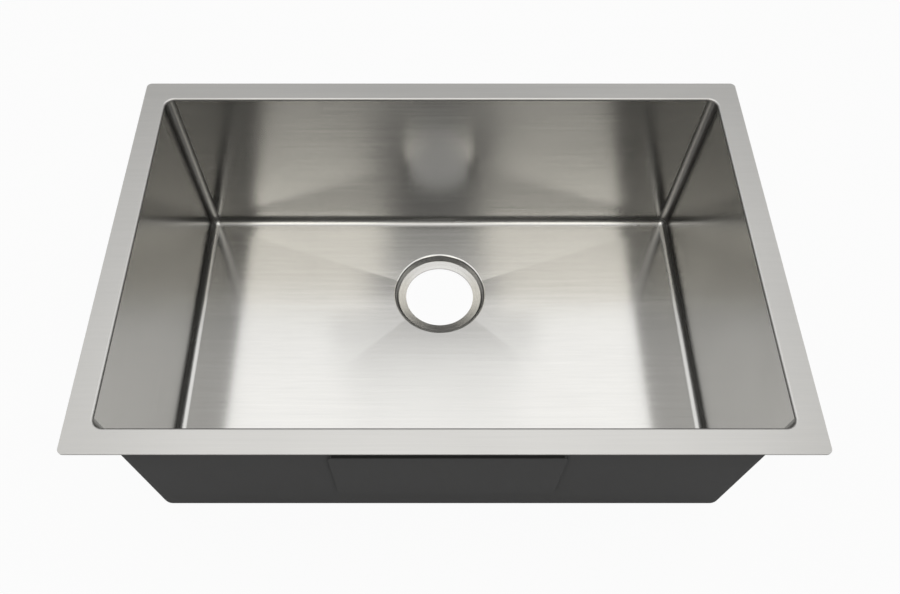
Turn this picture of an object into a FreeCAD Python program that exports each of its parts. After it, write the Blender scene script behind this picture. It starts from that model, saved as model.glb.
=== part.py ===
import FreeCAD, Part
import math
import os

import Sketcher

# An undermount kitchen sink: a bowl welded up from five pieces of sheet steel, with rubber pads
# and a sprayed coat on its outside. Millimetres. The origin is the centre of the rim's top face,
# +Z is up, +X runs along the bowl's length, and the drain lies towards +Y, the rear.

SIZES = {
    # the bowl, measured on its inside faces
    "bowl_length": 635.0,
    "bowl_width": 406.0,
    "bowl_depth": 229.0,  # rim top down to the edge of the floor
    "wall_bend": 10.0,  # inside radius of the upright corners and of the bends into the floor
    "sheet": 1.5,
    "weld_width": 1.2,
    # the rim, turned outwards from the walls
    "rim_width": 25.5,
    "rim_corner": 5.5,
    "rim_roll": 2.5,  # radius over which a wall turns into the rim
    # the floor and the cup pressed into it for the drain
    "floor_fall": 5.0,  # from the floor's edge down to where its four creases would meet
    "drain_back": 86.0,  # bowl centre to drain centre
    "drain_radius": 45.0,
    "seat_radius": 55.5,
    "seat_drop": 12.1,  # from the floor's edge down to the drain hole's edge
    "seat_rise": 2.0,  # the cup's seat slopes up this much from the hole to the cup's side
    "cup_flare": 7.0,  # how much the cup widens from its seat up to the floor's edge
    "cup_roll": 4.0,  # radius over which the floor turns into the cup
    "cup_foot": 1.0,  # radius between the cup's side and its seat
    # the sprayed coat
    "coat": 0.8,
    "coat_start": 4.0,  # rim top down to where the coat begins
    "bare_ring": 8.0,  # width left bare around the cup
    "bare_edge": 0.5,  # strip that the spray misses at the top of each wall pad
    # the rubber pads on the walls and under the floor
    "pad_corner": 5.0,
    "wall_pad": 3.5,
    "wall_pad_drop": 65.0,  # rim top down to a wall pad's upper edge
    "wall_pad_height": 108.0,
    "long_pad": 232.0,
    "short_pad": 180.0,
    "front_pad_shift": 4.5,  # how far the front pad sits off the middle
    "floor_pad": 2.5,
    "side_pad_length": 140.0,
    "side_pad_width": 150.0,
    "side_pad_back": 40.0,  # bowl centre to the side pads' centre line
    "fore_pad_length": 300.0,
    "fore_pad_width": 84.0,
    "floor_pad_inset": 22.0,  # from the floor's edge to a pad
}

# Places that several pieces share. The seams lie where the bends end.
RIM_X = "(dim.bowl_length / 2 + dim.rim_width)"
RIM_Y = "(dim.bowl_width / 2 + dim.rim_width)"
SEAM_X = "(dim.bowl_length / 2 - dim.wall_bend)"
SEAM_Y = "(dim.bowl_width / 2 - dim.wall_bend)"
FLOOR_X = "(dim.bowl_length / 2 - dim.wall_bend - dim.weld_width)"
FLOOR_Y = "(dim.bowl_width / 2 - dim.wall_bend - dim.weld_width)"
WALL_FOOT = "(dim.bowl_depth - dim.wall_bend)"
LOWEST = "(dim.bowl_depth + dim.seat_drop + 4 * dim.sheet + 4 * dim.floor_pad)"
COATED = "(dim.sheet + dim.coat)"
CUP_RADIUS = "(dim.seat_radius + dim.cup_flare + dim.sheet)"
ALL_X = (f"-({RIM_X} + 1)", f"{RIM_X} + 1")
ALL_Y = (f"-({RIM_Y} + 1)", f"{RIM_Y} + 1")
ALL_Z = (f"-{LOWEST}", "1")

doc = FreeCAD.newDocument("undermount_sink")
dim = doc.addObject("Spreadsheet::Sheet", "dim")
for row, (alias, value) in enumerate(SIZES.items(), start=1):
    dim.set(f"A{row}", alias)
    dim.set(f"B{row}", str(value))
    dim.setAlias(f"B{row}", alias)
doc.recompute()


def value_of(alias):
    return float(getattr(dim, alias))


def bind(feature, formulas):
    for target, formula in formulas.items():
        feature.setExpression(target, formula)


def add_sketch(body, role, name):
    sketch = body.newObject("Sketcher::SketchObject", name)
    origin_plane = next(p for p in body.Origin.OriginFeatures if p.Role == role)
    sketch.AttachmentSupport = [(origin_plane, "")]
    sketch.MapMode = "FlatFace"
    return sketch


def draw_outline(sketch, corners):
    """A closed outline. Each corner has a name and two formulas, measured from the origin."""
    drafts = [FreeCAD.Vector(k * k, 3 * k, 0) for k in range(len(corners))]
    for k, draft in enumerate(drafts):
        sketch.addGeometry(Part.LineSegment(draft, drafts[(k + 1) % len(drafts)]), False)
    for k in range(len(corners)):
        following = (k + 1) % len(corners)
        sketch.addConstraint(Sketcher.Constraint("Coincident", k, 2, following, 1))
    for k, (corner, across, up) in enumerate(corners):
        for kind, formula in (("DistanceX", across), ("DistanceY", up)):
            rule = Sketcher.Constraint(kind, -1, 1, k, 1, 10.0 * (k + 1))
            number = sketch.addConstraint(rule)
            sketch.renameConstraint(number, corner + kind[-1])
            sketch.setExpression(f"Constraints[{number}]", formula)


def draw_rectangle(sketch, low_x, high_x, low_y, high_y):
    corners = [
        ("front_left_", low_x, low_y),
        ("front_right_", high_x, low_y),
        ("rear_right_", high_x, high_y),
        ("rear_left_", low_x, high_y),
    ]
    draw_outline(sketch, corners)


def pad_down(body, sketch, length):
    """The sketch made solid from its plane towards -Z."""
    block = body.newObject("PartDesign::Pad", sketch.Name + "_block")
    block.Profile = sketch
    block.Reversed = True
    bind(block, {"Length": length})
    doc.recompute()


def round_edges(body, name, radius, wanted):
    """A fillet on each edge of the body so far that passes the test."""
    solid = body.Tip
    chosen = [f"Edge{k}" for k, edge in enumerate(solid.Shape.Edges, start=1) if wanted(edge)]
    fillet = body.newObject("PartDesign::Fillet", name)
    fillet.Base = (solid, chosen)
    bind(fillet, {"Radius": radius})
    doc.recompute()


def near(a, b):
    return abs(a - b) < 0.02


def lies_at(edge, height):
    return near(edge.BoundBox.ZMin, height) and near(edge.BoundBox.ZMax, height)


def on_rim_edge(edge, grow):
    """True where a wall's face runs into the rim's top, or its other face into the underside."""
    box = edge.BoundBox
    fits_x = max(-box.XMin, box.XMax) < value_of("bowl_length") / 2 + grow + 0.02
    fits_y = max(-box.YMin, box.YMax) < value_of("bowl_width") / 2 + grow + 0.02
    return lies_at(edge, -grow) and fits_x and fits_y


def is_upright(edge):
    return edge.BoundBox.XLength < 0.01 and edge.BoundBox.YLength < 0.01


def middle_of(edge):
    return edge.valueAt((edge.FirstParameter + edge.LastParameter) / 2)


def from_drain(point):
    return math.hypot(point.x, point.y - value_of("drain_back"))


def seat_edge_height(grow):
    seat = -(value_of("bowl_depth") + value_of("seat_drop") + grow)
    width = value_of("seat_radius") - value_of("drain_radius")
    return seat + value_of("seat_rise") * (width + grow) / width


def on_cup_mouth(edge, grow):
    """True where the floor's flat faces run into the cup's side."""
    seat = seat_edge_height(grow)
    mouth = -(value_of("bowl_depth") - value_of("sheet") + grow)
    middle = middle_of(edge)
    widened = value_of("cup_flare") * (middle.z - seat) / (mouth - seat)
    side = value_of("seat_radius") + grow + widened
    return edge.BoundBox.ZMin > seat + 0.1 and abs(from_drain(middle) - side) < 0.05


def on_seat_edge(edge, grow):
    far_out = near(from_drain(middle_of(edge)), value_of("seat_radius") + grow)
    return far_out and lies_at(edge, seat_edge_height(grow))


def bowl_block(name, grow):
    """The bowl's outline, grown outwards by a thickness. Four flat faces make up its floor, and
    fall towards the drain."""
    body = doc.addObject("PartDesign::Body", name)
    plan = add_sketch(body, "XY_Plane", name + "_plan")
    half_length = f"(dim.bowl_length / 2 + {grow})"
    half_width = f"(dim.bowl_width / 2 + {grow})"
    draw_rectangle(plan, f"-{half_length}", half_length, f"-{half_width}", half_width)
    pad_down(body, plan, f"dim.bowl_depth + {grow}")
    bend = f"dim.wall_bend + {grow}"
    round_edges(body, name + "_bends", bend, lambda edge: edge.BoundBox.ZMin < -1)
    fall = body.newObject("PartDesign::AdditiveWedge", name + "_fall")
    fall.Placement.Rotation = FreeCAD.Rotation(FreeCAD.Vector(1, 0, 0), -90)
    bind(fall, {"Xmin": f"-{FLOOR_X}", "Xmax": FLOOR_X, "X2min": "0", "X2max": "0"})
    bind(fall, {"Zmin": f"-{FLOOR_Y}", "Zmax": FLOOR_Y})
    bind(fall, {"Z2min": "dim.drain_back", "Z2max": "dim.drain_back"})
    bind(fall, {"Ymin": "0", "Ymax": "dim.floor_fall"})
    bind(fall, {"Placement.Base.z": f"-(dim.bowl_depth + {grow})"})
    doc.recompute()
    return body


def add_cup(body, grow):
    """The cup around the drain, turned about the drain's upright axis."""
    profile = add_sketch(body, "YZ_Plane", body.Name + "_cup_profile")
    seat = f"-(dim.bowl_depth + dim.seat_drop + {grow})"
    mouth = f"-(dim.bowl_depth - dim.sheet + {grow})"
    foot = f"dim.drain_back + dim.seat_radius + {grow}"
    seat_slope = "dim.seat_rise / (dim.seat_radius - dim.drain_radius)"
    seat_width = f"(dim.seat_radius + {grow} - dim.drain_radius)"
    corners = [
        ("seat_middle_", "dim.drain_back", seat),
        ("hole_edge_", "dim.drain_back + dim.drain_radius", seat),
        ("seat_edge_", foot, f"{seat} + {seat_slope} * {seat_width}"),
        ("mouth_edge_", f"{foot} + dim.cup_flare", mouth),
        ("mouth_middle_", "dim.drain_back", mouth),
    ]
    draw_outline(profile, corners)
    cup = body.newObject("PartDesign::Revolution", body.Name + "_cup")
    cup.Profile = profile
    cup.ReferenceAxis = (profile, ["Edge5"])
    doc.recompute()


def add_drain(body):
    hole = body.newObject("PartDesign::AdditiveCylinder", body.Name + "_drain")
    bind(hole, {"Radius": "dim.drain_radius", "Height": "dim.seat_drop"})
    bind(hole, {"Placement.Base.y": "dim.drain_back"})
    bind(hole, {"Placement.Base.z": "-(dim.bowl_depth + dim.seat_drop + 2 * dim.sheet)"})
    doc.recompute()


def add_rim(body):
    plan = add_sketch(body, "XY_Plane", "rim_plan")
    draw_rectangle(plan, f"-{RIM_X}", RIM_X, f"-{RIM_Y}", RIM_Y)
    pad_down(body, plan, "dim.sheet")
    end = value_of("bowl_length") / 2 + value_of("rim_width")
    round_edges(
        body,
        "rim_corners",
        "dim.rim_corner",
        lambda edge: is_upright(edge) and near(abs(middle_of(edge).x), end),
    )


def steel_form():
    """All the sheet metal in one piece, as it stands once the seams are welded and ground."""
    inside = bowl_block("inside", "0")
    add_cup(inside, "0")
    add_drain(inside)
    form = bowl_block("steel_form", "dim.sheet")
    add_cup(form, "dim.sheet")
    add_rim(form)
    hollow = form.newObject("PartDesign::Boolean", "hollow")
    hollow.Type = "Cut"
    hollow.setObjects([inside])
    doc.recompute()
    thick = value_of("sheet")
    round_edges(form, "mouth_roll", "dim.cup_roll", lambda edge: on_cup_mouth(edge, 0))
    under_mouth = "dim.cup_roll - dim.sheet"
    round_edges(form, "mouth_under", under_mouth, lambda edge: on_cup_mouth(edge, thick))
    round_edges(form, "seat_foot", "dim.cup_foot", lambda edge: on_seat_edge(edge, 0))
    under_foot = "dim.cup_foot + dim.sheet"
    round_edges(form, "foot_under", under_foot, lambda edge: on_seat_edge(edge, thick))
    round_edges(form, "rim_roll", "dim.rim_roll", lambda edge: on_rim_edge(edge, 0))
    under_rim = "dim.rim_roll - dim.sheet"
    round_edges(form, "rim_under", under_rim, lambda edge: on_rim_edge(edge, thick))
    return form


def region(name, x_range, y_range, z_range):
    """A box between formulas, for taking one piece out of a larger form."""
    box = doc.addObject("Part::Box", name)
    for side, axis, (low, high) in zip(
        ("Length", "Width", "Height"), "xyz", (x_range, y_range, z_range)
    ):
        bind(box, {side: f"({high}) - ({low})", f"Placement.Base.{axis}": low})
    return box


def piece_of(form, label, x_range, y_range, z_range):
    """The part of a form that lies in a region. Pieces of one form meet face to face."""
    piece = doc.addObject("Part::Common", label + "_piece")
    piece.Base = form
    piece.Tool = region(label + "_region", x_range, y_range, z_range)
    piece.Label = label
    return piece


def pad_block(name, low_x, high_x, low_y, high_y, thickness, grow):
    """A flat pad with rounded corners, lying below its own XY plane."""
    body = doc.addObject("PartDesign::Body", name)
    plan = add_sketch(body, "XY_Plane", name + "_plan")
    draw_rectangle(
        plan, f"{low_x} - {grow}", f"{high_x} + {grow}", f"{low_y} - {grow}", f"{high_y} + {grow}"
    )
    pad_down(body, plan, f"{thickness} + {grow}")
    round_edges(body, name + "_corners", f"dim.pad_corner + {grow}", is_upright)
    return body


def wall_pad(name, turn, length, base, grow):
    """A pad against a wall. The turn is 0 at the front and 180 at the rear."""
    half = f"{length} / 2"
    half_height = "dim.wall_pad_height / 2"
    body = pad_block(name, f"-{half}", half, f"-{half_height}", half_height, "dim.wall_pad", grow)
    upright = FreeCAD.Rotation(FreeCAD.Vector(1, 0, 0), -90)
    body.Placement.Rotation = FreeCAD.Rotation(FreeCAD.Vector(0, 0, 1), turn) * upright
    bind(body, {f"Placement.Base.{axis}": formula for axis, formula in base.items()})
    bind(body, {"Placement.Base.z": "-(dim.wall_pad_drop + dim.wall_pad_height / 2)"})
    return body


def floor_pad(name, spread, base, axis, slope, grow):
    """A pad under one of the floor's four faces, tilted as that face is."""
    body = pad_block(name, *spread, "dim.floor_pad", grow)
    body.Placement.Rotation = FreeCAD.Rotation(axis, 1)
    bind(body, {f"Placement.Base.{letter}": formula for letter, formula in base.items()})
    bind(body, {"Placement.Base.z": "-(dim.bowl_depth + dim.sheet)"})
    bind(body, {"Placement.Rotation.Angle": slope})
    return body


def wall_pads(ending, grow):
    long_face = "(dim.bowl_width / 2 + dim.sheet)"
    end_face = "(dim.bowl_length / 2 + dim.sheet)"
    front = {"x": "dim.front_pad_shift", "y": f"-{long_face}"}
    return [
        wall_pad("front_pad" + ending, 0, "dim.long_pad", front, grow),
        wall_pad("rear_pad" + ending, 180, "dim.long_pad", {"y": long_face}, grow),
        wall_pad("left_pad" + ending, -90, "dim.short_pad", {"x": f"-{end_face}"}, grow),
        wall_pad("right_pad" + ending, 90, "dim.short_pad", {"x": end_face}, grow),
    ]


def floor_pads(ending, grow):
    inset = "dim.floor_pad_inset"
    far_x = f"({inset} + dim.side_pad_length)"
    low_y = "(dim.side_pad_back - dim.side_pad_width / 2)"
    high_y = "(dim.side_pad_back + dim.side_pad_width / 2)"
    half_fore = "dim.fore_pad_length / 2"
    fore = (f"-{half_fore}", half_fore, inset, f"({inset} + dim.fore_pad_width)")
    across = FreeCAD.Vector(0, 1, 0)
    along = FreeCAD.Vector(1, 0, 0)
    end_slope = f"atan(dim.floor_fall / {FLOOR_X})"
    fore_slope = f"-atan(dim.floor_fall / ({FLOOR_Y} + dim.drain_back))"
    left = (inset, far_x, low_y, high_y)
    right = (f"-{far_x}", f"-{inset}", low_y, high_y)
    left_base = {"x": f"-{FLOOR_X}"}
    right_base = {"x": FLOOR_X}
    fore_base = {"y": f"-{FLOOR_Y}"}
    return [
        floor_pad("left_floor_pad" + ending, left, left_base, across, end_slope, grow),
        floor_pad("right_floor_pad" + ending, right, right_base, across, f"-{end_slope}", grow),
        floor_pad("front_floor_pad" + ending, fore, fore_base, along, fore_slope, grow),
    ]


def fused(name, shapes):
    joined = doc.addObject("Part::MultiFuse", name)
    joined.Shapes = shapes
    return joined


def less(name, base, tool):
    remainder = doc.addObject("Part::Cut", name)
    remainder.Base = base
    remainder.Tool = tool
    return remainder


def sheet_pieces():
    form = steel_form()
    long_x = (f"-{FLOOR_X}", FLOOR_X)
    return [
        piece_of(form, "left_end", (ALL_X[0], f"-{SEAM_X}"), ALL_Y, ALL_Z),
        piece_of(form, "right_end", (SEAM_X, ALL_X[1]), ALL_Y, ALL_Z),
        piece_of(form, "left_weld", (f"-{SEAM_X}", f"-{FLOOR_X}"), ALL_Y, ALL_Z),
        piece_of(form, "right_weld", (FLOOR_X, SEAM_X), ALL_Y, ALL_Z),
        piece_of(form, "front_wall", long_x, (ALL_Y[0], f"-{SEAM_Y}"), ALL_Z),
        piece_of(form, "rear_wall", long_x, (SEAM_Y, ALL_Y[1]), ALL_Z),
        piece_of(form, "front_weld", long_x, (f"-{SEAM_Y}", f"-{FLOOR_Y}"), ALL_Z),
        piece_of(form, "rear_weld", long_x, (FLOOR_Y, SEAM_Y), ALL_Z),
        piece_of(form, "floor_pan", long_x, (f"-{FLOOR_Y}", FLOOR_Y), ALL_Z),
    ]


def coat_form(pads):
    """One coat over the bare steel and the pads. It is missing around the drain and on the upper
    edge of each wall pad."""
    outside = bowl_block("outside", "dim.sheet")
    coated = bowl_block("coated", COATED)
    over_walls = fused("over_wall_pads", wall_pads("_coated", "dim.coat"))
    sprayed_z = (f"-{LOWEST}", "-(dim.wall_pad_drop + dim.bare_edge)")
    sprayed_walls = piece_of(over_walls, "sprayed_wall_pads", ALL_X, ALL_Y, sprayed_z)
    over_floor = floor_pads("_coated", "dim.coat")
    outline = fused("coat_outline", [coated, sprayed_walls, *over_floor])
    around_drain = doc.addObject("Part::Cylinder", "around_drain")
    bind(around_drain, {"Radius": f"{CUP_RADIUS} + dim.bare_ring", "Height": LOWEST})
    bind(around_drain, {"Placement.Base.y": "dim.drain_back", "Placement.Base.z": f"-{LOWEST}"})
    return less("coat_form", outline, fused("kept_bare", [outside, around_drain, *pads]))


def coat_pieces(pads):
    """The coat is parted along the floor's seams, and starts a little below the rim."""
    skin = coat_form(pads)
    floor = ((f"-{SEAM_X}", SEAM_X), (f"-{SEAM_Y}", SEAM_Y), (f"-{LOWEST}", f"-{WALL_FOOT}"))
    below_rim = piece_of(skin, "coat_below_rim", ALL_X, ALL_Y, (f"-{LOWEST}", "-dim.coat_start"))
    wall_coat = less("wall_coat_piece", below_rim, region("under_floor", *floor))
    wall_coat.Label = "wall_coat"
    return [wall_coat, piece_of(skin, "floor_coat", *floor)]


def check(pieces):
    for thing in doc.Objects:
        if "Invalid" in thing.State or "Error" in thing.State:
            raise RuntimeError(f"{thing.Name} could not be built: {thing.State}")
    for piece in pieces:
        shape = piece.Shape
        if shape.isNull() or not shape.isValid():
            raise RuntimeError(f"{piece.Label} has no sound shape")
        box = shape.BoundBox
        spans = " ".join(f"{n:.1f}" for n in (box.XLength, box.YLength, box.ZLength))
        print(f"{piece.Label}: {len(shape.Solids)} solid, {shape.Volume:.0f} mm3, {spans}")


pads = wall_pads("", "0") + floor_pads("", "0")
pieces = sheet_pieces() + pads + coat_pieces(pads)
doc.recompute()
check(pieces)
os.makedirs("parts", exist_ok=True)
for piece in pieces:
    piece.Shape.exportStep(f"parts/{piece.Label}.step")
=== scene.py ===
import math

import bmesh
import bpy
from bmesh.types import BMEdge, BMFace, BMVert
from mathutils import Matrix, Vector


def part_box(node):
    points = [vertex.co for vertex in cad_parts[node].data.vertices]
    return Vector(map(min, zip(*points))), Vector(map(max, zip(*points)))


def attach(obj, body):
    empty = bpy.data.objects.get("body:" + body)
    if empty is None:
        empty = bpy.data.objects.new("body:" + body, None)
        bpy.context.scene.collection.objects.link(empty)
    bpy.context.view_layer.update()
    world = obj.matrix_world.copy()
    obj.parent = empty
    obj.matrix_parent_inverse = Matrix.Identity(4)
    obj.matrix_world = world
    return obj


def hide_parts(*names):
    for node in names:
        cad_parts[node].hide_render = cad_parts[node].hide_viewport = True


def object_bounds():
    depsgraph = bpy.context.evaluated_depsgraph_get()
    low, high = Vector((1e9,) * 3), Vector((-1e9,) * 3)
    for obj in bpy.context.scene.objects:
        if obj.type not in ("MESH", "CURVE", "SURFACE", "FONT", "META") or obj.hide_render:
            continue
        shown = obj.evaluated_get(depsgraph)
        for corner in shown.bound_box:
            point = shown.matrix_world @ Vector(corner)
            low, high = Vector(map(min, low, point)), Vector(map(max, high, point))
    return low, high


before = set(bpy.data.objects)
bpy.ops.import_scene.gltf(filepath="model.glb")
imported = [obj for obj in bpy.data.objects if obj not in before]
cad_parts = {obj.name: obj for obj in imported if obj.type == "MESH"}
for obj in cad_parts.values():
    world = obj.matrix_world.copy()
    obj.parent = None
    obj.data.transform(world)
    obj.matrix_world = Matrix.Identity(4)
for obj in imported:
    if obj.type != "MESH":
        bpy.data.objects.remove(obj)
cadLow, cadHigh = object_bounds()
scene = bpy.context.scene
scene.view_settings.view_transform = "Standard"


# the camera, as it was fitted to the rim, the floor and the drain
cameraFit = {
    "place": (-0.0128, -0.4698, 0.6500),
    "tiltDown": 60.75,  # degrees below level
    "focalPixels": 776.9,
    "opticalCentre": (430.1, 333.0),  # where its axis meets the picture, in pixels
    "picture": (900, 594),
    "sensorWidth": 36.0,
}


def makeCamera():
    width, height = cameraFit["picture"]
    centreX, centreY = cameraFit["opticalCentre"]
    data = bpy.data.cameras.new("camera")
    data.sensor_width = cameraFit["sensorWidth"]
    data.lens = cameraFit["focalPixels"] * cameraFit["sensorWidth"] / width
    data.shift_x = (width / 2 - centreX) / width
    data.shift_y = (centreY - height / 2) / width
    camera = bpy.data.objects.new("camera", data)
    camera.location = cameraFit["place"]
    camera.rotation_euler = (math.radians(90 - cameraFit["tiltDown"]), 0, 0)
    scene.collection.objects.link(camera)
    scene.camera = camera


makeCamera()
print("camera placed")


# shader helpers
def newMaterial(name):
    material = bpy.data.materials.new(name)
    material.use_nodes = True
    return material, material.node_tree, material.node_tree.nodes["Principled BSDF"]


def setInputs(node, values):
    for key, value in values.items():
        node.inputs[key].default_value = value


def addNode(tree, kind, links=None, values=None, **settings):
    node = tree.nodes.new("ShaderNode" + kind)
    for key, value in settings.items():
        setattr(node, key, value)
    setInputs(node, values or {})
    for key, output in (links or {}).items():
        tree.links.new(output, node.inputs[key])
    return node


# each term is another node's output or a plain number
def maths(tree, operation, *terms):
    links = {}
    values = {}
    for place, term in enumerate(terms):
        if isinstance(term, bpy.types.NodeSocket):
            links[place] = term
        else:
            values[place] = term
    return addNode(tree, "Math", links, values, operation=operation).outputs[0]


def newGroup(name, inputs, outputs):
    tree = bpy.data.node_groups.new(name, "ShaderNodeTree")
    for label, kind, default in inputs:
        socket = tree.interface.new_socket(label, in_out="INPUT", socket_type="NodeSocket" + kind)
        if default is not None:
            socket.default_value = default
    for label, kind in outputs:
        tree.interface.new_socket(label, in_out="OUTPUT", socket_type="NodeSocket" + kind)
    return tree, tree.nodes.new("NodeGroupInput"), tree.nodes.new("NodeGroupOutput")


def useGroup(tree, group, links, values):
    node = tree.nodes.new("ShaderNodeGroup")
    node.node_tree = group
    setInputs(node, values)
    for key, output in links.items():
        tree.links.new(output, node.inputs[key])
    return node


# the sheet metal, in metres; its lengths come from the frame
rim = {
    "outerX": cadHigh.x,
    "outerY": cadHigh.y,
    "corner": 0.0055,
    "roll": 0.0025,  # where the rim turns down into the walls
    "rollSteps": 6,
}

bowl = {
    "seamX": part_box("right_end")[0].x,
    "seamY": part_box("rear_wall")[0].y,
    "floorX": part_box("right_weld")[0].x,
    "floorY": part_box("rear_weld")[0].y,
    "depth": -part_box("floor_pan")[1].z,
    "bend": 0.010,
    "bendSteps": 16,
    "sheet": 0.0015,
}

floorPan = {
    "fall": 0.005,  # from the floor's edges to the point where its four faces would meet
    "spokeSpacing": 0.006,
    "ringCuts": 9,
    "creaseWidth": 0.012,  # as a share of the way from the drain to the edge
}

drain = {
    "back": 0.086,  # behind the bowl's middle
    "radius": 0.045,
    "seatRadius": 0.0555,
    "seatDrop": 0.0121,
    "seatRise": 0.002,  # the seat slopes up from the hole to the cup's side
    "flare": 0.007,
    "roll": 0.004,
    "rollSteps": 6,
    "foot": 0.001,
    "footSteps": 4,
}

drainMiddle = Vector((0, drain["back"], 0))
floorApex = -bowl["depth"] - floorPan["fall"]
holeHeight = -bowl["depth"] - drain["seatDrop"]
seatHeight = holeHeight + drain["seatRise"]
coneRise = drain["seatDrop"] + bowl["sheet"] - drain["seatRise"]
conePitch = coneRise / drain["flare"]


# fine scratches that all run one way, with broader streaks and cloudy patches over them
brushMarks = {
    "scratches": {"along": 9, "across": 1500, "detail": 3},  # waves to the metre
    "streaks": {"along": 4, "across": 260, "detail": 2},
    "cloudDetail": 3,
    "low": 0.3,  # a noise's values from low to high are spread from -0.5 to 0.5
    "high": 0.7,
}


def stretchedNoise(tree, vector, along, across, detail):
    stretched = addNode(tree, "Mapping", {"Vector": vector}, {"Scale": (along, across, across)})
    noise = addNode(tree, "TexNoise", {"Vector": stretched.outputs[0]}, {"Scale": 1, "Detail": detail})
    return noise.outputs["Fac"]


def centredNoise(tree, noise):
    limits = {
        "From Min": brushMarks["low"],
        "From Max": brushMarks["high"],
        "To Min": -0.5,
        "To Max": 0.5,
    }
    return addNode(tree, "MapRange", {"Value": noise}, limits).outputs[0]


def makeBrushing():
    inputs = [
        ("Vector", "Vector", None),
        ("Roughness", "Float", 0.2),
        ("Roughness Spread", "Float", 0.05),
        ("Tone Spread", "Float", 0.06),
        ("Colour", "Color", (0.5, 0.5, 0.5, 1)),
        ("Patch Size", "Float", 0.12),
    ]
    outputs = [("Colour", "Color"), ("Roughness", "Float"), ("Height", "Float")]
    tree, start, end = newGroup("brushing", inputs, outputs)
    given = start.outputs
    scratches = stretchedNoise(tree, given["Vector"], **brushMarks["scratches"])
    streaks = stretchedNoise(tree, given["Vector"], **brushMarks["streaks"])
    clouds = addNode(
        tree,
        "TexNoise",
        {"Vector": given["Vector"], "Scale": maths(tree, "DIVIDE", 1.0, given["Patch Size"])},
        {"Detail": brushMarks["cloudDetail"]},
    )
    streaked = centredNoise(tree, streaks)
    wander = maths(tree, "ADD", streaked, centredNoise(tree, clouds.outputs["Fac"]))
    rougher = maths(tree, "MULTIPLY_ADD", wander, given["Roughness Spread"], given["Roughness"])
    lined = maths(tree, "ADD", streaked, centredNoise(tree, scratches))
    tone = maths(tree, "MULTIPLY_ADD", lined, given["Tone Spread"], 1.0)
    tinted = addNode(tree, "VectorMath", {0: given["Colour"], "Scale": tone}, operation="SCALE")
    tree.links.new(tinted.outputs[0], end.inputs["Colour"])
    tree.links.new(rougher, end.inputs["Roughness"])
    tree.links.new(scratches, end.inputs["Height"])
    return tree


# the ways that scratches run: each gives their direction, and coordinates that start along them
upwards = (0, 0, 1)


def runAlongX(tree, place):
    return addNode(tree, "CombineXYZ", values={"X": 1.0}).outputs[0], place


# the scratches run level all round, so only the height changes across them
def runLevel(tree, place):
    facing = addNode(tree, "NewGeometry").outputs["Normal"]
    level = addNode(tree, "VectorMath", {0: facing}, {1: upwards}, operation="CROSS_PRODUCT")
    direction = addNode(tree, "VectorMath", {0: level.outputs[0]}, operation="NORMALIZE")
    parts = addNode(tree, "SeparateXYZ", {"Vector": place}).outputs
    around = maths(tree, "ADD", parts["X"], parts["Y"])
    pattern = addNode(tree, "CombineXYZ", {"X": around, "Y": parts["Z"]})
    return direction.outputs[0], pattern.outputs[0]


def runRound(tree, place):
    fromAxis = addNode(tree, "VectorMath", {0: place}, {1: drainMiddle}, operation="SUBTRACT").outputs[0]
    ringed = addNode(tree, "VectorMath", {0: fromAxis}, {1: upwards}, operation="CROSS_PRODUCT").outputs[0]
    direction = addNode(tree, "VectorMath", {0: ringed}, operation="NORMALIZE")
    radius = addNode(tree, "VectorMath", {0: ringed}, operation="LENGTH").outputs["Value"]
    height = addNode(tree, "SeparateXYZ", {"Vector": place}).outputs["Z"]
    pattern = addNode(tree, "CombineXYZ", {"Y": radius, "Z": height})
    return direction.outputs[0], pattern.outputs[0]


def runNowhere(tree, place):
    return None, place


runs = {"x": runAlongX, "level": runLevel, "round": runRound, "none": runNowhere}


brushing = makeBrushing()
scratchDepth = 0.00002
grazingTint = (0.6, 0.6, 0.6, 1)
steelColour = (0.52, 0.515, 0.50, 1)
satinColour = (0.48, 0.475, 0.462, 1)

# every steel finish: how it is brushed, and how shiny that leaves it; the bends and upright corners also
# get darker colours, which are painted shade
finishes = {
    "floorBrushed": {"run": "x", "roughness": 0.18, "anisotropy": 0.85, "scratch": 0.15},
    "wallBrushed": {"run": "level", "roughness": 0.18, "anisotropy": 0.85, "scratch": 0.15},
    "rimSatin": {
        "run": "none",
        "roughness": 0.46,
        "anisotropy": 0.0,
        "scratch": 0.25,
        "colour": satinColour,
    },
    # the bends are darker than the flat walls: painted shade in the creases
    "bendBrushedPaintedShade": {
        "run": "level",
        "roughness": 0.26,
        "anisotropy": 0.7,
        "scratch": 0.1,
        "colour": (0.46, 0.456, 0.443, 1),
    },
    # the upright corners are much darker than the walls: painted shade in the inside corners
    "cornerBrushedPaintedShade": {
        "run": "level",
        "roughness": 0.28,
        "anisotropy": 0.7,
        "scratch": 0.02,
        "colour": (0.36, 0.357, 0.347, 1),
        "spread": 0.01,
        "tone": 0.01,
    },
    "cupTurned": {"run": "round", "roughness": 0.22, "anisotropy": 0.5, "scratch": 0.15},
    "weldFloor": {"run": "x", "roughness": 0.2, "anisotropy": 0.8, "scratch": 0.2},
    "weldWall": {"run": "level", "roughness": 0.2, "anisotropy": 0.8, "scratch": 0.2},
    "weldRim": {
        "run": "none",
        "roughness": 0.47,
        "anisotropy": 0.0,
        "scratch": 0.25,
        "colour": satinColour,
    },
}


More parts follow.
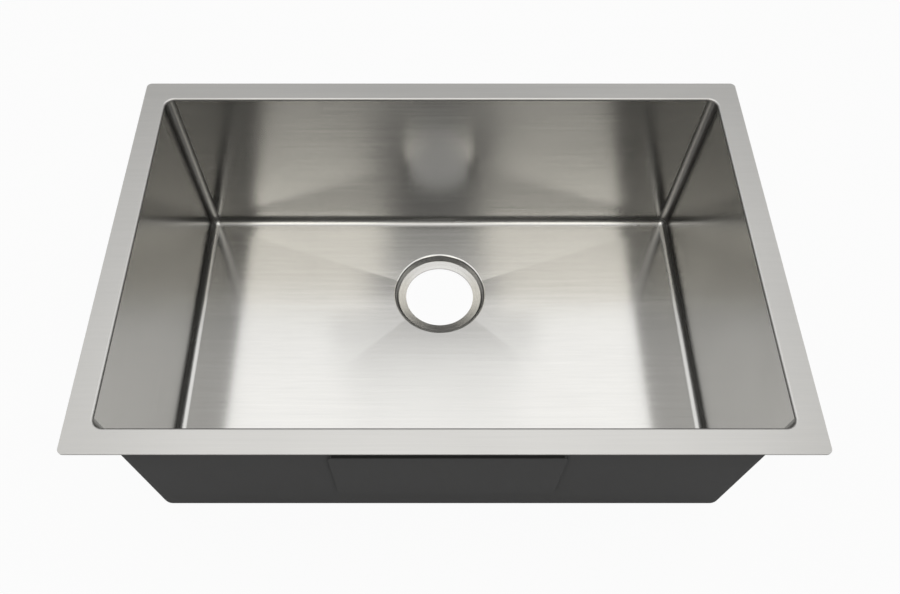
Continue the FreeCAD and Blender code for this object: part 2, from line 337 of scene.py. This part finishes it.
def steel(name, run, roughness, anisotropy, scratch, colour=steelColour, spread=0.03, tone=0.05):
    material, tree, shader = newMaterial(name)
    place = addNode(tree, "TexCoord").outputs["Object"]
    direction, pattern = runs[run](tree, place)
    grain = useGroup(
        tree,
        brushing,
        {"Vector": pattern},
        {"Roughness": roughness, "Roughness Spread": spread, "Tone Spread": tone, "Colour": colour},
    ).outputs
    bump = addNode(
        tree, "Bump", {"Height": grain["Height"]}, {"Strength": scratch, "Distance": scratchDepth}
    )
    tree.links.new(grain["Colour"], shader.inputs["Base Color"])
    tree.links.new(grain["Roughness"], shader.inputs["Roughness"])
    tree.links.new(bump.outputs["Normal"], shader.inputs["Normal"])
    setInputs(shader, {"Metallic": 1, "Specular Tint": grazingTint, "Anisotropic": anisotropy})
    if direction is not None:
        tree.links.new(direction, shader.inputs["Tangent"])
        shader.inputs["Anisotropic Rotation"].default_value = 0.25  # turns: highlights cross the scratches
    return material


steels = {name: steel(name, **values) for name, values in finishes.items()}
print("steel finishes mixed")


# a sprayed or moulded matte surface, with broad patches under its grains
pebbling = {
    "grainDetail": 4,
    "patchScale": 25,
    "patchDetail": 3,
    "roughnessSpread": 0.15,
    "bump": 0.5,
    "shine": 0.3,
}

mattes = {
    "undercoat": {
        "colour": (0.124, 0.126, 0.13, 1),
        "roughness": 0.8,
        "pebble": 0.0011,
        "depth": 0.0002,
    },
    "padRubber": {
        "colour": (0.045, 0.045, 0.046, 1),
        "roughness": 0.6,
        "pebble": 0.0005,
        "depth": 0.00005,
    },
}


def makePebbles():
    inputs = [
        ("Vector", "Vector", None),
        ("Colour", "Color", (0.05, 0.05, 0.05, 1)),
        ("Pebble Size", "Float", 0.001),
        ("Tone Spread", "Float", 0.15),
        ("Roughness", "Float", 0.8),
    ]
    outputs = [("Colour", "Color"), ("Roughness", "Float"), ("Height", "Float")]
    tree, start, end = newGroup("pebbles", inputs, outputs)
    given = start.outputs
    grain = addNode(
        tree,
        "TexNoise",
        {"Vector": given["Vector"], "Scale": maths(tree, "DIVIDE", 1.0, given["Pebble Size"])},
        {"Detail": pebbling["grainDetail"]},
    ).outputs["Fac"]
    patches = addNode(
        tree,
        "TexNoise",
        {"Vector": given["Vector"]},
        {"Scale": pebbling["patchScale"], "Detail": pebbling["patchDetail"]},
    ).outputs["Fac"]
    centred = maths(tree, "ADD", maths(tree, "ADD", grain, patches), -1.0)
    tone = maths(tree, "MULTIPLY_ADD", centred, given["Tone Spread"], 1.0)
    tinted = addNode(tree, "VectorMath", {0: given["Colour"], "Scale": tone}, operation="SCALE")
    rougher = maths(tree, "MULTIPLY_ADD", centred, pebbling["roughnessSpread"], given["Roughness"])
    tree.links.new(tinted.outputs[0], end.inputs["Colour"])
    tree.links.new(rougher, end.inputs["Roughness"])
    tree.links.new(grain, end.inputs["Height"])
    return tree


pebbles = makePebbles()


def matte(name, colour, roughness, pebble, depth):
    material, tree, shader = newMaterial(name)
    place = addNode(tree, "TexCoord").outputs["Object"]
    grain = useGroup(
        tree,
        pebbles,
        {"Vector": place},
        {"Colour": colour, "Pebble Size": pebble, "Roughness": roughness},
    ).outputs
    bump = addNode(
        tree, "Bump", {"Height": grain["Height"]}, {"Strength": pebbling["bump"], "Distance": depth}
    )
    tree.links.new(grain["Colour"], shader.inputs["Base Color"])
    tree.links.new(grain["Roughness"], shader.inputs["Roughness"])
    tree.links.new(bump.outputs["Normal"], shader.inputs["Normal"])
    setInputs(shader, {"Specular IOR Level": pebbling["shine"]})
    return material


# the sheet metal's upper side is shaped as one skin, which is parted at the seams afterwards;
# these are the finishes of its surfaces, on the sheets and on the welds
sheetFinish = {
    "wall": "wallBrushed",
    "rim": "rimSatin",
    "floor": "floorBrushed",
    "cup": "cupTurned",
    # the bends' and upright corners' finishes are darker than the walls': painted shade
    "bend": "bendBrushedPaintedShade",
    "corner": "cornerBrushedPaintedShade",
}
weldFinish = {
    "wall": "weldWall",
    "rim": "weldRim",
    "floor": "weldFloor",
    "cup": "weldFloor",
    "bend": "weldWall",
    "corner": "weldWall",
}
surfaces = list(sheetFinish)

alongX = Vector((1, 0, 0))
alongY = Vector((0, 1, 0))
seams = [(alongX, "seamX"), (alongX, "floorX"), (alongY, "seamY"), (alongY, "floorY")]

closeEnough = 0.00001
levelEnough = 0.99  # how much of its normal points up, on a face that counts as level
squareEnough = 0.999  # how much of its normal points along an axis, on a face that stands square to it
cutTolerance = 0.000001


def near(a, b):
    return abs(a - b) < closeEnough


def pick(items, kind):
    return [item for item in items if isinstance(item, kind)]


def facesUp(face):
    return face.normal.z > levelEnough


def isBottom(face):
    return facesUp(face) and face.calc_center_median().z < -bowl["depth"] / 2


def setSurface(faces, surface):
    for face in faces:
        face.material_index = surfaces.index(surface)


def makeBowl():
    bm = bmesh.new()
    bmesh.ops.create_cube(bm, size=1)
    height = bowl["depth"] - rim["roll"]
    size = (2 * (bowl["seamX"] + bowl["bend"]), 2 * (bowl["seamY"] + bowl["bend"]), height)
    bmesh.ops.scale(bm, vec=size, verts=bm.verts)
    bmesh.ops.translate(bm, vec=(0, 0, -rim["roll"] - height / 2), verts=bm.verts)
    lid = [face for face in bm.faces if facesUp(face)]
    bmesh.ops.delete(bm, geom=lid, context="FACES_ONLY")
    folds = [edge for edge in bm.edges if not edge.is_boundary]
    bmesh.ops.bevel(
        bm,
        geom=folds,
        offset=bowl["bend"],
        segments=bowl["bendSteps"],
        profile=0.5,
        affect="EDGES",
        material=-1,
    )
    bmesh.ops.reverse_faces(bm, faces=bm.faces)
    return bm


# the middle that a place on the walls' upper edge turns about
def turningPoint(place):
    x = max(-bowl["seamX"], min(bowl["seamX"], place.x))
    y = max(-bowl["seamY"], min(bowl["seamY"], place.y))
    return Vector((x, y, 0))


# the walls' upper edge rolls outwards, and the flat rim runs from there to its outline
def addRim(bm):
    loop = [edge for edge in bm.edges if edge.is_boundary]
    for step in range(1, rim["rollSteps"] + 1):
        angle = math.radians(90) * step / rim["rollSteps"]
        made = bmesh.ops.extrude_edge_only(bm, edges=loop)["geom"]
        for point in pick(made, BMVert):
            middle = turningPoint(point.co)
            outwards = (point.co - middle).xy.normalized().to_3d()
            point.co = middle + outwards * (bowl["bend"] + rim["roll"] * (1 - math.cos(angle)))
            point.co.z = -rim["roll"] * (1 - math.sin(angle))
        setSurface(pick(made, BMFace), "rim")
        loop = pick(made, BMEdge)
    plate = bmesh.ops.create_grid(bm, x_segments=1, y_segments=1, size=1)["verts"]
    bmesh.ops.scale(bm, vec=(rim["outerX"], rim["outerY"], 1), verts=plate)
    bmesh.ops.bevel(
        bm,
        geom=plate,
        offset=rim["corner"],
        segments=rim["rollSteps"],
        profile=0.5,
        affect="VERTICES",
        material=-1,
    )
    whole = [face for face in bm.faces if near(face.calc_center_median().z, 0) and facesUp(face)]
    outline = [edge for face in whole for edge in face.edges]
    bmesh.ops.delete(bm, geom=whole, context="FACES_ONLY")
    flat = bmesh.ops.triangle_fill(bm, edges=loop + outline, use_beauty=True, normal=(0, 0, 1))
    filled = pick(flat["geom"], BMFace)
    setSurface(filled, "rim")
    for face in filled:
        if face.normal.z < 0:
            face.normal_flip()


def cutAtSeams(bm):
    for across, place in seams:
        for side in (-1, 1):
            whole = bm.verts[:] + bm.edges[:] + bm.faces[:]
            cut = across * bowl[place] * side
            bmesh.ops.bisect_plane(bm, geom=whole, dist=cutTolerance, plane_co=cut, plane_no=across)


# 0 at the drain's middle and 1 at the floor's edges; the creases are a little soft
def fallShare(x, y):
    past = y - drain["back"]
    reach = bowl["floorY"] - drain["back"] if past > 0 else bowl["floorY"] + drain["back"]
    across = abs(x) / bowl["floorX"]
    along = abs(past) / reach
    width = floorPan["creaseWidth"]
    overlap = max(width - abs(across - along), 0) / width
    return max(across, along) + overlap * overlap * width / 4


def floorHeight(point):
    return floorApex + floorPan["fall"] * min(fallShare(point.x, point.y), 1)


def curve(points, share):
    first, middle, last = points
    return first.lerp(middle, share).lerp(middle.lerp(last, share), share)


def curvePoints(points, steps):
    return [curve(points, step / steps) for step in range(steps + 1)]


# radius and height from the floor in to the drain hole, along one level direction
def cupSection(direction):
    metre = drainMiddle + direction
    rise = floorPan["fall"] * fallShare(metre.x, metre.y)
    edgeRadius = (floorApex - seatHeight + drain["seatRadius"] * conePitch) / (conePitch - rise)
    edge = Vector((edgeRadius, floorApex + rise * edgeRadius))
    cone = Vector((drain["flare"], coneRise)).normalized()
    seat = Vector((drain["seatRadius"] - drain["radius"], drain["seatRise"])).normalized()
    rollReach = drain["roll"] * math.tan(math.atan(conePitch) / 2)
    start = Vector((edgeRadius + rollReach, floorApex + rise * (edgeRadius + rollReach)))
    section = curvePoints((start, edge, edge - cone * rollReach), drain["rollSteps"])
    foot = Vector((drain["seatRadius"], seatHeight))
    footReach = drain["foot"] * math.tan(cone.angle(seat) / 2)
    section += curvePoints((foot + cone * footReach, foot, foot - seat * footReach), drain["footSteps"])
    hole = Vector((drain["radius"], holeHeight))
    return section + [(foot + hole) / 2, hole]


def toRing(point, ring):
    direction = (point.co - drainMiddle).xy.normalized().to_3d()
    radius, height = cupSection(direction)[ring]
    point.co = drainMiddle + direction * radius
    point.co.z = height


def floorFace(bm):
    return max(filter(isBottom, bm.faces), key=lambda face: face.calc_area())


# the middle of the bottom becomes four falling faces around a cup
def addFloor(bm):
    for edge in list(floorFace(bm).edges):
        cuts = round(edge.calc_length() / floorPan["spokeSpacing"]) - 1
        bmesh.ops.subdivide_edges(bm, edges=[edge], cuts=cuts)
    apex = bmesh.ops.poke(bm, faces=[floorFace(bm)])["verts"][0]
    apex.co = (0, drain["back"], floorApex)
    made = bmesh.ops.bevel(
        bm,
        geom=[apex],
        offset=drain["seatRadius"],
        segments=1,
        profile=0.5,
        affect="VERTICES",
        material=-1,
    )
    mouth = made["verts"]
    loop = list(made["faces"][0].edges)
    bmesh.ops.delete(bm, geom=made["faces"], context="FACES_ONLY")
    spokes = [edge for point in mouth for edge in point.link_edges if edge not in loop]
    for point in mouth:
        toRing(point, 0)
    rows = bmesh.ops.subdivide_edges(bm, edges=spokes, cuts=floorPan["ringCuts"])
    for point in pick(rows["geom_inner"], BMVert):
        point.co.z = floorHeight(point.co)
    setSurface(filter(isBottom, bm.faces), "floor")
    ringCount = len(cupSection(alongX))
    for ring in range(1, ringCount):
        made = bmesh.ops.extrude_edge_only(bm, edges=loop)["geom"]
        for point in pick(made, BMVert):
            toRing(point, ring)
        setSurface(pick(made, BMFace), "cup")
        loop = pick(made, BMEdge)


# the walls' faces that stand square to no axis are the bends and the upright corners
def markBends(bm):
    for face in bm.faces:
        square = max(abs(part) for part in face.normal) > squareEnough
        if face.material_index == surfaces.index("wall") and not square:
            upright = near(face.normal.z, 0)
            setSurface([face], "corner" if upright else "bend")


# each point keeps the way the smooth skin faces there, so that no seam shows in the shading
def keepFacing(bm):
    facing = bm.verts.layers.float_vector.new("facing")
    for face in bm.faces:
        face.normal_update()
    for point in bm.verts:
        total = Vector((0, 0, 0))
        for face in point.link_faces:
            area = face.calc_area() * 1000**2  # in square millimetres, so that small faces still count
            total += face.normal * area**2
        point[facing] = total.normalized()


def makeSkin():
    skin = makeBowl()
    addRim(skin)
    cutAtSeams(skin)
    addFloor(skin)
    markBends(skin)
    keepFacing(skin)
    return skin


sheetPieces = {
    "left_end": lambda x, y: x < -bowl["seamX"],
    "right_end": lambda x, y: x > bowl["seamX"],
    "left_weld": lambda x, y: -bowl["seamX"] < x < -bowl["floorX"],
    "right_weld": lambda x, y: bowl["floorX"] < x < bowl["seamX"],
    "front_wall": lambda x, y: abs(x) < bowl["floorX"] and y < -bowl["seamY"],
    "rear_wall": lambda x, y: abs(x) < bowl["floorX"] and y > bowl["seamY"],
    "front_weld": lambda x, y: abs(x) < bowl["floorX"] and -bowl["seamY"] < y < -bowl["floorY"],
    "rear_weld": lambda x, y: abs(x) < bowl["floorX"] and bowl["floorY"] < y < bowl["seamY"],
    "floor_pan": lambda x, y: abs(x) < bowl["floorX"] and abs(y) < bowl["floorY"],
}
cutEdgeTurn = 0.7  # a face whose normal agrees less than this with the skin's is a cut edge


# the kept facing on both sides of the sheet, and flat normals on its cut edges
def cornerNormals(mesh):
    kept = mesh.attributes["facing"].data
    normals = []
    for face in mesh.polygons:
        ways = [kept[corner].vector for corner in face.vertices]
        side = face.normal.dot(sum(ways, Vector()).normalized())
        if abs(side) < cutEdgeTurn:
            normals += [face.normal] * len(ways)
        else:
            normals += [way * math.copysign(1, side) for way in ways]
    return normals


def takePiece(skin, node, wanted, finish):
    bm = skin.copy()
    others = [face for face in bm.faces if not wanted(*face.calc_center_median().xy)]
    bmesh.ops.delete(bm, geom=others, context="FACES")
    bmesh.ops.solidify(bm, geom=bm.faces[:], thickness=bowl["sheet"])
    mesh = bpy.data.meshes.new(node + "_sheet")
    bm.to_mesh(mesh)
    bm.free()
    for face in mesh.polygons:
        face.use_smooth = True
    mesh.normals_split_custom_set(cornerNormals(mesh))
    mesh.attributes.remove(mesh.attributes["facing"])
    for surface in surfaces:
        mesh.materials.append(steels[finish[surface]])
    piece = bpy.data.objects.new(node + "_sheet", mesh)
    scene.collection.objects.link(piece)
    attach(piece, "root")
    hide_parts(node)


skin = makeSkin()
for node, wanted in sheetPieces.items():
    if "weld" in node:
        takePiece(skin, node, wanted, weldFinish)
    else:
        takePiece(skin, node, wanted, sheetFinish)
skin.free()
print("sheet metal and welds shaped")

undercoat = matte("undercoat", **mattes["undercoat"])
rubber = matte("padRubber", **mattes["padRubber"])
for name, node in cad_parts.items():
    if "pad" in name or "coat" in name:
        for slot in node.material_slots:
            slot.material = rubber if "pad" in name else undercoat
print("pads and undercoat finished")


# the studio
studio = {
    "floorSize": 12.0,
    "floorGap": 0.0002,  # under the sink's lowest point
    "floorColour": (0.5, 0.5, 0.5, 1),
    "floorRoughness": 0.9,
    "floorShine": 0.2,
    "floorWhite": 0.95,  # how much of the floor's look is plain white, and not its shade
    "floorMirrored": 0.08,  # how much of that white the steel mirrors
    "roomColour": (1.0, 0.99, 0.97, 1),
    "roomLevel": 0.15,
    "roomMirrored": 0.15,
    "softboxHeight": 1.5,
}

plainWhite = (1, 1, 1)
warmWhite = (1, 0.975, 0.91)

# all face straight down; a panel's level is how bright it is, whatever its size
softboxes = {
    "overRear": {"size": (3.0, 1.5), "place": (0, 0.35), "level": 1.56},
    "overBack": {"size": (3.0, 1.0), "place": (0, 1.95), "level": 0.7},
    "backLeft": {"size": (1.15, 0.4), "place": (-0.925, 1.3), "level": 1.2},
    "backRight": {"size": (1.15, 0.4), "place": (0.925, 1.3), "level": 1.6},
    "overMiddle": {"size": (0.38, 0.45), "place": (0, -0.625), "level": 1.7},
    "overLeft": {"size": (0.72, 0.9), "place": (-0.55, -0.85), "level": 2.9, "colour": warmWhite},
    "overRight": {"size": (0.72, 0.9), "place": (0.56, -0.85), "level": 2.9, "colour": warmWhite},
}


# how white the backdrop looks to a ray: wholly to the camera and through glass, in part when mirrored
def backdropShare(tree, mirrored):
    path = addNode(tree, "LightPath").outputs
    part = maths(tree, "MULTIPLY", path["Is Glossy Ray"], mirrored)
    seen = maths(tree, "MAXIMUM", path["Is Camera Ray"], part)
    return maths(tree, "MAXIMUM", seen, path["Is Transmission Ray"])


def makeStudioFloor():
    bpy.ops.mesh.primitive_plane_add(size=studio["floorSize"])
    floor = bpy.context.object
    floor.name = "studioFloor"
    for corner in floor.data.vertices:
        corner.co.z = cadLow.z - studio["floorGap"]
    material, tree, shader = newMaterial("studioFloor")
    setInputs(
        shader,
        {
            "Base Color": studio["floorColour"],
            "Roughness": studio["floorRoughness"],
            "Specular IOR Level": studio["floorShine"],
        },
    )
    share = maths(tree, "MULTIPLY", backdropShare(tree, studio["floorMirrored"]), studio["floorWhite"])
    white = addNode(tree, "Emission", values={"Strength": 1}).outputs["Emission"]
    mix = addNode(tree, "MixShader", {0: share, 1: shader.outputs["BSDF"], 2: white})
    tree.links.new(mix.outputs[0], tree.nodes["Material Output"].inputs["Surface"])
    floor.data.materials.append(material)


def makeRoom():
    room = bpy.data.worlds.new("room")
    scene.world = room
    room.use_nodes = True
    tree = room.node_tree
    strength = maths(tree, "MAXIMUM", backdropShare(tree, studio["roomMirrored"]), studio["roomLevel"])
    background = tree.nodes["Background"]
    background.inputs["Color"].default_value = studio["roomColour"]
    tree.links.new(strength, background.inputs["Strength"])


def makeSoftbox(name, size, place, level, colour=plainWhite):
    light = bpy.data.lights.new(name, "AREA")
    light.shape = "RECTANGLE"
    light.size, light.size_y = size
    light.energy = level * math.pi * size[0] * size[1]
    light.color = colour
    lamp = bpy.data.objects.new(name, light)
    lamp.location = (*place, studio["softboxHeight"])
    lamp.visible_camera = False
    scene.collection.objects.link(lamp)


makeStudioFloor()
makeRoom()
for name, box in softboxes.items():
    makeSoftbox(name, **box)
print("studio lit")
